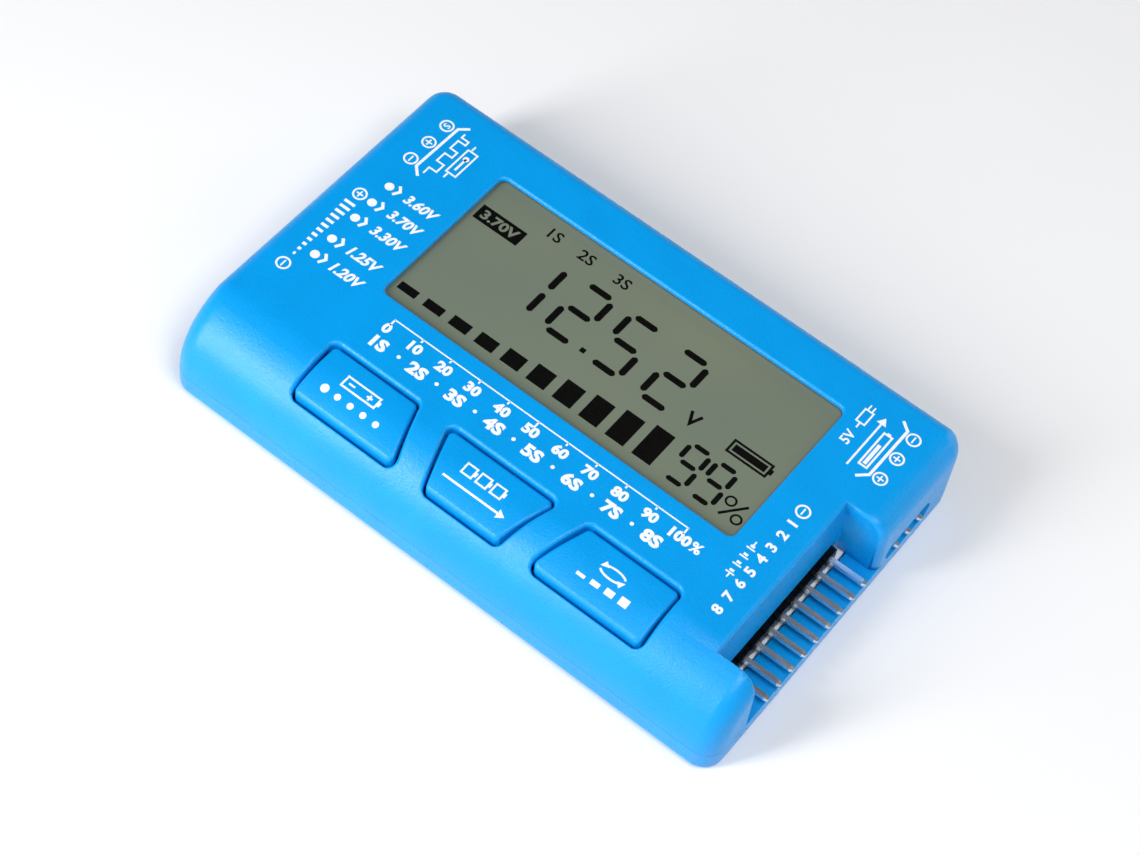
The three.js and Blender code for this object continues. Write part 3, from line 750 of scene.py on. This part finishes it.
# balance connector: the tap numbers, and a stack of cells beside them
TAP_X = 32.4
TAP_HEIGHTS = (1.11, -0.98, -3.2, -5.31, -7.55, -9.63, -11.83, -14.09)
for tap, y in enumerate(TAP_HEIGHTS, 1):
    legend.text(str(tap), (TAP_X, y), 1.45, turn=90, bold=0.035, align="MIDDLE", squeeze=1.1)
for y in (-9.2, -7.8, -6.4, -5.0):
    legend.line([(29.35, y), (30.55, y)], THIN)
    legend.line([(29.65, y + 0.42), (30.25, y + 0.42)], 0.34)
legend.line([(29.95, -9.9), (29.95, -9.3)], THIN)
legend.line([(29.95, -4.4), (29.95, -3.8)], THIN)

# power input: voltage, plug, arrow and battery
legend.text("5V", (30.35, 14.6), 1.35, turn=90, bold=0.02)
legend.loop([(29.1, 18.3), (30.3, 18.3), (30.3, 20.4), (29.1, 20.4)], 0.22)
for x in (29.4, 30.0):
    legend.line([(x, 20.5), (x, 21.3)], THIN)
legend.line([(29.7, 18.2), (29.7, 17.4)], 0.22)
legend.arrow((31.8, 12.3), (31.8, 20.9), 0.26, 1.1)
battery_icon(legend, 32.8, 13.4, 5.6, 1.15, 0.26, 0.7, turn=True)
legend.piece("case_legends", "case", "ivory")


# ---------------------------------------------------------------- legends on the keys

CAP_TOP = size_mm("keycap_left")[1].z
CAP_FLAT_END = -17.5
CAP_CURVE = 12.0
CAP_PRINT_RISE = 0.012
KEY_STROKE = 0.26


def cap_height(x, y):
    run = max(CAP_FLAT_END - y, 0.0)
    return CAP_TOP - CAP_CURVE + math.sqrt(CAP_CURVE**2 - run * run) + CAP_PRINT_RISE


def key_ink():
    return Ink(cap_height, 0.05)


# battery type: a battery with its two signs, and a row of dots
ink = key_ink()
battery_icon(ink, -20.4, -18.85, 5.0, 1.5, KEY_STROKE, 0.0)
ink.box(-19.75, -18.22, -18.85, -17.98)
ink.cross((-16.6, -18.1), 0.42, 0.13)
for step in range(5):
    ink.disc((-21.6 + step * 1.95, -20.35), 0.42 if step else 0.55)
ink.piece("key_left_legend", "key_left", "ivory")
# cells in a row
ink = key_ink()
for cell in range(3):
    battery_icon(ink, -2.1 + cell * 2.15, -18.85, 1.45, 1.45, 0.24, 0.0)
ink.arrow((-3.6, -20.35), (5.6, -20.35), KEY_STROKE, 1.0)
ink.piece("key_centre_legend", "key_centre", "ivory")
# a cycle of modes, and four growing bars
ink = key_ink()
CYCLE_CENTRE = (19.8, -18.15)
CYCLE_RADII = (1.75, 0.72)
for turn, reach in ((0, 0.55), (180, -0.55)):
    arc_points = []
    for step in range(9):
        angle = math.radians(turn + 20 + step * 15)
        x = CYCLE_CENTRE[0] + CYCLE_RADII[0] * math.cos(angle)
        arc_points.append((x, CYCLE_CENTRE[1] + CYCLE_RADII[1] * math.sin(angle)))
    ink.line(arc_points, KEY_STROKE)
    x, y = arc_points[-1]
    tip = (x + reach * 0.9, y - reach * 0.1)
    ink.polygon([(x - reach * 0.3, y + reach), tip, (x - reach, y - reach * 0.7)])
for step in range(4):
    ink.box(16.3 + step * 2.0, -20.65, 17.5 + step * 2.0, -20.25 + step * 0.22)
ink.piece("key_right_legend", "key_right", "ivory")


# ---------------------------------------------------------------- display content

SEGMENT_TOP = FILM_TOP + 0.012
LABEL_TOP = FILM_TOP + 0.024
SEGMENT_DEPTH = 0.01
# how far a bar's end is chamfered, and how wide it stays there, as parts of its width
CHAMFER = 0.35
segments = Ink(SEGMENT_TOP, SEGMENT_DEPTH)


def segment(ends, width, cut):
    """One bar of a digit, with chamfered ends."""
    (x0, y0), (x1, y1) = ends
    along = Vector((x1 - x0, y1 - y0)).normalized()
    across = Vector((-along.y, along.x)) * width / 2
    a, b = Vector((x0, y0)), Vector((x1, y1))
    inner_a, inner_b = a + along * cut, b - along * cut
    tip = across * CHAMFER
    lower = (a - tip, inner_a - across, inner_b - across, b - tip)
    upper = (b + tip, inner_b + across, inner_a + across, a + tip)
    segments.polygon([tuple(point) for point in lower + upper])


SHAPES = {"1": "bc", "2": "abged", "5": "afgcd", "9": "abcdfg"}


def digit(shape, x, low_y, width, height, stroke, gap):
    """A seven-segment digit whose vertical bars stand on x and x + width."""
    middle, top_y = low_y + height / 2, low_y + height
    places = {
        "a": ((x + gap, top_y), (x + width - gap, top_y)),
        "b": ((x + width, top_y - gap), (x + width, middle + gap)),
        "c": ((x + width, middle - gap), (x + width, low_y + gap)),
        "d": ((x + gap, low_y), (x + width - gap, low_y)),
        "e": ((x, middle - gap), (x, low_y + gap)),
        "f": ((x, top_y - gap), (x, middle + gap)),
        "g": ((x + gap, middle), (x + width - gap, middle)),
    }
    for name in SHAPES[shape]:
        segment(places[name], stroke, stroke * CHAMFER)


# the voltage, with its point
for shape, x in (("1", -15.0), ("2", -7.85), ("5", -0.72), ("2", 6.8)):
    digit(shape, x, 4.35, 4.25, 8.75, 0.9, 0.5)
segments.box(-2.42, 4.33, -1.7, 5.05)
# the percentage
for x in (15.95, 19.87):
    digit("9", x, -2.98, 2.87, 5.78, 0.68, 0.38)
# the row of charge bars
BAR_X = -24.86
BAR_STEP = 4.008
BAR_WIDTH = 2.76
BAR_BASE = -3.17
BAR_TOPS = (-1.95, -1.83, -1.57, -1.3, -0.9, -0.35, 0.2, 0.78, 1.45, 2.1)
for index, bar_top in enumerate(BAR_TOPS):
    left = BAR_X + index * BAR_STEP
    segments.box(left, BAR_BASE, left + BAR_WIDTH, bar_top)
# the signs for volts and per cent
segments.line([(13.25, 6.6), (14.0, 4.85), (14.75, 6.6)], 0.42)
for centre in ((24.2, -0.7), (26.15, -2.4)):
    segments.ring(centre, 0.78, 0.27)
segments.line([(23.95, -3.05), (26.35, -0.05)], 0.36)
for words, x, y in (("1S", -15.14, 16.2), ("2S", -10.2, 16.15), ("3S", -4.61, 16.15)):
    segments.text(words, (x, y - 0.82), 1.7, bold=0.012, align="MIDDLE", squeeze=1.05)
# a full battery
battery_icon(segments, 19.6, 4.75, 5.6, 1.9, 0.32, 1.0)
segments.piece("display_segments", "case", "black")
# the cell voltage, light on a dark box
box_ink = Ink(SEGMENT_TOP, SEGMENT_DEPTH)
box_ink.box(-24.85, 11.6, -17.95, 14.1)
box_ink.piece("display_cell_kind", "case", "black")
label = Ink(LABEL_TOP, SEGMENT_DEPTH)
label.text("3.70V", (-21.4, 12.08), 1.55, bold=0.035, align="MIDDLE", squeeze=1.2)
label.piece("display_cell_voltage", "case", "film")


# ---------------------------------------------------------------- materials


class Look:
    """A node material built up step by step on a Principled shader."""

    def __init__(self, name, **values):
        self.material = bpy.data.materials.new(name)
        self.material.use_nodes = True
        self.tree = self.material.node_tree
        self.shader = self.tree.nodes["Principled BSDF"]
        self.place = self.tree.nodes.new("ShaderNodeTexCoord")
        for key, value in values.items():
            self.shader.inputs[key.replace("_", " ")].default_value = value

    def node(self, kind, **settings):
        node = self.tree.nodes.new(kind)
        for key, value in settings.items():
            setattr(node, key, value)
        return node

    def link(self, source, target):
        self.tree.links.new(source, target)

    def noise(self, size_mm, detail=2.0, stretch=(1, 1, 1), roughness=0.5):
        """Fractal noise whose blobs are about the given size."""
        mapping = self.node("ShaderNodeMapping")
        mapping.inputs["Scale"].default_value = stretch
        self.link(self.place.outputs["Object"], mapping.inputs["Vector"])
        noise = self.node("ShaderNodeTexNoise")
        noise.inputs["Scale"].default_value = 1 / (size_mm * MM)
        noise.inputs["Detail"].default_value = detail
        noise.inputs["Roughness"].default_value = roughness
        self.link(mapping.outputs["Vector"], noise.inputs["Vector"])
        return noise.outputs["Fac"]

    def ramp(self, source, stops):
        """A colour ramp through stops of (position, colour)."""
        ramp = self.node("ShaderNodeValToRGB")
        elements = ramp.color_ramp.elements
        while len(elements) < len(stops):
            elements.new(0.5)
        for stop, (position, colour) in zip(elements, stops):
            stop.position = position
            stop.color = (*colour, 1)
        self.link(source, ramp.inputs["Fac"])
        return ramp.outputs["Color"]

    def colour(self, source, stops):
        self.link(self.ramp(source, stops), self.shader.inputs["Base Color"])

    def roughness(self, source, low, high):
        """Roughness that follows a noise from a low to a high value."""
        spread = self.node("ShaderNodeMapRange")
        spread.inputs["From Min"].default_value = 0.3
        spread.inputs["From Max"].default_value = 0.7
        spread.inputs["To Min"].default_value = low
        spread.inputs["To Max"].default_value = high
        self.link(source, spread.inputs["Value"])
        self.link(spread.outputs["Result"], self.shader.inputs["Roughness"])

    def bump(self, source, height_mm, strength):
        """A bump on top of any bump that the look already has."""
        bump = self.node("ShaderNodeBump")
        bump.inputs["Distance"].default_value = height_mm * MM
        bump.inputs["Strength"].default_value = strength
        self.link(source, bump.inputs["Height"])
        previous = self.shader.inputs["Normal"].links
        if previous:
            self.link(previous[0].from_socket, bump.inputs["Normal"])
        self.link(bump.outputs["Normal"], self.shader.inputs["Normal"])


def shade(colour, factor):
    return tuple(min(channel * factor, 1.0) for channel in colour)


def blue_plastic(name, colour):
    look = Look(name, IOR=1.5, Specular_IOR_Level=0.36)
    look.colour(look.noise(6, 3), [(0.35, shade(colour, 0.97)), (0.65, shade(colour, 1.03))])
    look.roughness(look.noise(0.3, 4), 0.26, 0.36)
    look.bump(look.noise(0.3, 3, roughness=0.7), 0.065, 0.85)
    look.bump(look.noise(9, 1), 0.12, 0.25)
    return look


BLUE = (0.0, 0.322, 0.8)
shell_look = blue_plastic("shell_plastic", BLUE)
key_look = blue_plastic("key_plastic", BLUE)

ink_look = Look("white_print", Roughness=0.5)
ink_look.colour(ink_look.noise(0.25, 3), [(0.3, (0.8, 0.86, 0.92)), (0.6, (0.93, 0.96, 0.98))])
ink_look.bump(ink_look.noise(0.12, 2), 0.01, 0.4)

film_look = Look("display_film", IOR=1.45)
film_look.colour(
    film_look.noise(26, 1),
    [(0.3, (0.158, 0.195, 0.152)), (0.7, (0.186, 0.212, 0.15))],
)
film_look.roughness(film_look.noise(0.2, 2), 0.3, 0.38)
film_look.bump(film_look.noise(0.05, 1), 0.001, 0.3)

segment_look = Look("display_black", Roughness=0.5, Specular_IOR_Level=0.1)
segment_look.colour(
    segment_look.noise(0.6, 2),
    [(0.3, (0.0012, 0.0012, 0.0012)), (0.7, (0.003, 0.003, 0.0025))],
)

black_look = Look("moulded_black", IOR=1.5, Specular_IOR_Level=0.15)
black_look.colour(
    black_look.noise(1.5, 3),
    [(0.3, (0.001, 0.001, 0.0012)), (0.7, (0.003, 0.003, 0.0035))],
)
black_look.roughness(black_look.noise(0.4, 3), 0.2, 0.34)
black_look.bump(black_look.noise(0.1, 2), 0.01, 0.5)

wheel_look = Look("wheel_black", IOR=1.5)
wheel_look.colour(
    wheel_look.noise(0.8, 3),
    [(0.3, (0.012, 0.012, 0.014)), (0.7, (0.03, 0.03, 0.034))],
)
wheel_look.roughness(wheel_look.noise(0.3, 3), 0.45, 0.65)
wheel_look.bump(wheel_look.noise(0.08, 2), 0.012, 0.6)

pin_look = Look("tinned_pin", Metallic=0.85)
pin_look.colour(
    pin_look.noise(0.5, 3, (0.2, 1, 1)),
    [(0.3, (0.74, 0.78, 0.83)), (0.7, (0.93, 0.96, 1.0))],
)
pin_look.roughness(pin_look.noise(0.6, 2, (0.15, 1, 1)), 0.2, 0.3)
pin_look.bump(pin_look.noise(0.5, 1, (0.1, 1, 1)), 0.002, 0.2)

screw_look = Look("screw_steel", Metallic=1.0)
screw_look.colour(screw_look.noise(0.4, 3), [(0.3, (0.35, 0.36, 0.38)), (0.7, (0.6, 0.61, 0.63))])
screw_look.roughness(screw_look.noise(0.2, 3), 0.25, 0.42)
screw_look.bump(screw_look.noise(0.12, 2), 0.006, 0.5)

board_look = Look("solder_mask", IOR=1.5)
board_look.colour(
    board_look.noise(1.6, 4, (1, 0.35, 1)),
    [(0.42, (0.82, 0.86, 0.85)), (0.5, (0.93, 0.95, 0.94)), (0.6, (0.78, 0.83, 0.81))],
)
board_look.roughness(board_look.noise(0.5, 2), 0.3, 0.5)
board_look.bump(board_look.noise(0.4, 2), 0.02, 0.5)

rubber_look = Look("layered_rubber", Roughness=0.8)
rubber_look.colour(
    rubber_look.noise(0.25, 1, (4, 0.05, 0.05)),
    [(0.45, (0.012, 0.012, 0.013)), (0.55, (0.22, 0.16, 0.14))],
)
rubber_look.bump(rubber_look.noise(0.2, 2), 0.02, 0.5)

ivory_look = Look("moulded_ivory", Roughness=0.5)
ivory_look.colour(ivory_look.noise(3, 3), [(0.3, (0.66, 0.64, 0.56)), (0.7, (0.76, 0.74, 0.67))])
ivory_look.bump(ivory_look.noise(0.2, 3), 0.02, 0.5)

glass_look = Look("cell_glass", Roughness=0.08, IOR=1.5)
glass_look.colour(glass_look.noise(8, 2), [(0.3, (0.32, 0.4, 0.34)), (0.7, (0.38, 0.46, 0.4))])
glass_look.bump(glass_look.noise(4, 1), 0.01, 0.2)

reflector_look = Look("reflector_foil", Metallic=0.4)
reflector_look.colour(
    reflector_look.noise(2, 3),
    [(0.3, (0.4, 0.42, 0.38)), (0.7, (0.5, 0.52, 0.48))],
)
reflector_look.roughness(reflector_look.noise(0.3, 3), 0.3, 0.45)

resistor_look = Look("resistor_body", Roughness=0.45)
resistor_look.colour(
    resistor_look.noise(2.5, 0, (1, 0.2, 0.2)),
    [(0.4, (0.012, 0.012, 0.014)), (0.62, (0.55, 0.56, 0.57))],
)
resistor_look.bump(resistor_look.noise(0.3, 2), 0.01, 0.4)


def paint(obj, look):
    obj.data.materials.clear()
    obj.data.materials.append(look.material)
    for face in obj.data.polygons:
        face.material_index = 0


paint(top, shell_look)
paint(bottom, shell_look)
NODE_LOOKS = {
    "display_polariser": film_look,
    "display_cell": glass_look,
    "display_reflector": reflector_look,
    "display_holder": ivory_look,
    "contact_strip": rubber_look,
    "main_board": board_look,
    "adjust_wheel": wheel_look,
    "adjust_pot": ivory_look,
    "microcontroller": black_look,
    "voltage_regulator": black_look,
    "discharge_resistor": resistor_look,
    "case_screw": screw_look,
    "key_switch": screw_look,
    "key_plunger": black_look,
    "balance_pin": pin_look,
    "power_pin": pin_look,
    "servo_pin": pin_look,
}
for name, node in nodes.items():
    for start, look in NODE_LOOKS.items():
        if name.startswith(start):
            paint(node, look)
PIECE_LOOKS = {
    "key_left": key_look,
    "key_centre": key_look,
    "key_right": key_look,
    "key_left_legend": ink_look,
    "key_centre_legend": ink_look,
    "key_right_legend": ink_look,
    "case_legends": ink_look,
    "display_segments": segment_look,
    "display_cell_kind": segment_look,
    "display_cell_voltage": film_look,
    "balance_header_block": black_look,
    "power_header_block": black_look,
    "servo_header_block": black_look,
}
for name, look in PIECE_LOOKS.items():
    paint(bpy.data.objects[name], look)


# ---------------------------------------------------------------- camera

CAMERA_AT = (86.891, -160.882, 274.455)
CAMERA_RIGHT = (0.78715073, 0.60683935, 0.11018041)
CAMERA_DOWN = (0.55774818, -0.62412889, -0.54715637)
CAMERA_FORWARD = (-0.26326924, 0.49214746, -0.82974706)
FOCAL_LENGTH = 84.1
SENSOR_WIDTH = 36


def make_camera():
    data = bpy.data.cameras.new("camera")
    data.lens = FOCAL_LENGTH
    data.sensor_width = SENSOR_WIDTH
    data.clip_start = 0.01
    data.clip_end = 10
    camera = bpy.data.objects.new("camera", data)
    bpy.context.scene.collection.objects.link(camera)
    up, backward = ([-v for v in axis] for axis in (CAMERA_DOWN, CAMERA_FORWARD))
    axes = Matrix((CAMERA_RIGHT, up, backward)).transposed()
    camera.matrix_world = Matrix.Translation(Vector(CAMERA_AT) * MM) @ axes.to_4x4()
    bpy.context.scene.camera = camera


make_camera()


# ---------------------------------------------------------------- light and floor


# name, place, where it points, width and height, and power
LIGHTS = (
    ("key light", (-162, -300, 200), (-25, -10, 5), (92, 262), 1.3),
    ("top light", (175, -50, 425), (0, 0, 0), (210, 200), 0.97),
    ("back light", (240, 420, 160), (0, 0, 0), (300, 160), 0.5),
)
FLOOR_HALF = 2500
# the sky's strength along an axis: where it starts to fade, where it ends, bright and dark
SKY_FADES = (("Y", -0.9, 0.35, 0.6, 0.03), ("Z", 0.1, 0.4, 0.7, 0.02))


def area_light(name, place, target, size, watts):
    data = bpy.data.lights.new(name, "AREA")
    data.shape = "RECTANGLE"
    data.size, data.size_y = (v * MM for v in size)
    data.energy = watts
    light = bpy.data.objects.new(name, data)
    light.location = Vector(place) * MM
    light.rotation_mode = "QUATERNION"
    light.rotation_quaternion = (Vector(target) - Vector(place)).to_track_quat("-Z", "Y")
    bpy.context.scene.collection.objects.link(light)


def make_stage():
    bm = bmesh.new()
    bmesh.ops.create_grid(bm, x_segments=8, y_segments=8, size=FLOOR_HALF)
    floor = new_object("floor", bm)
    return floor


floor = make_stage()
floor_look = Look("pale_floor", Roughness=0.7)
floor_look.colour(floor_look.noise(60, 2), [(0.3, (0.93, 0.93, 0.94)), (0.7, (0.95, 0.95, 0.955))])
paint(floor, floor_look)
for light in LIGHTS:
    area_light(*light)


def make_world():
    """A studio that is bright in front and near the floor, and dark above and behind."""
    world = bpy.data.worlds.new("studio")
    bpy.context.scene.world = world
    world.use_nodes = True
    tree = world.node_tree
    background = tree.nodes["Background"]
    place = tree.nodes.new("ShaderNodeTexCoord")
    split = tree.nodes.new("ShaderNodeSeparateXYZ")
    brighter = tree.nodes.new("ShaderNodeMath")
    brighter.operation = "MAXIMUM"
    tree.links.new(place.outputs["Generated"], split.inputs["Vector"])
    for index, (axis, start, end, bright, dark) in enumerate(SKY_FADES):
        spread = tree.nodes.new("ShaderNodeMapRange")
        spread.inputs["From Min"].default_value = start
        spread.inputs["From Max"].default_value = end
        spread.inputs["To Min"].default_value = bright
        spread.inputs["To Max"].default_value = dark
        tree.links.new(split.outputs[axis], spread.inputs["Value"])
        tree.links.new(spread.outputs["Result"], brighter.inputs[index])
    tree.links.new(brighter.outputs["Value"], background.inputs["Strength"])
    background.inputs["Color"].default_value = (0.97, 0.98, 1, 1)


make_world()
bpy.context.scene.view_settings.view_transform = "Standard"
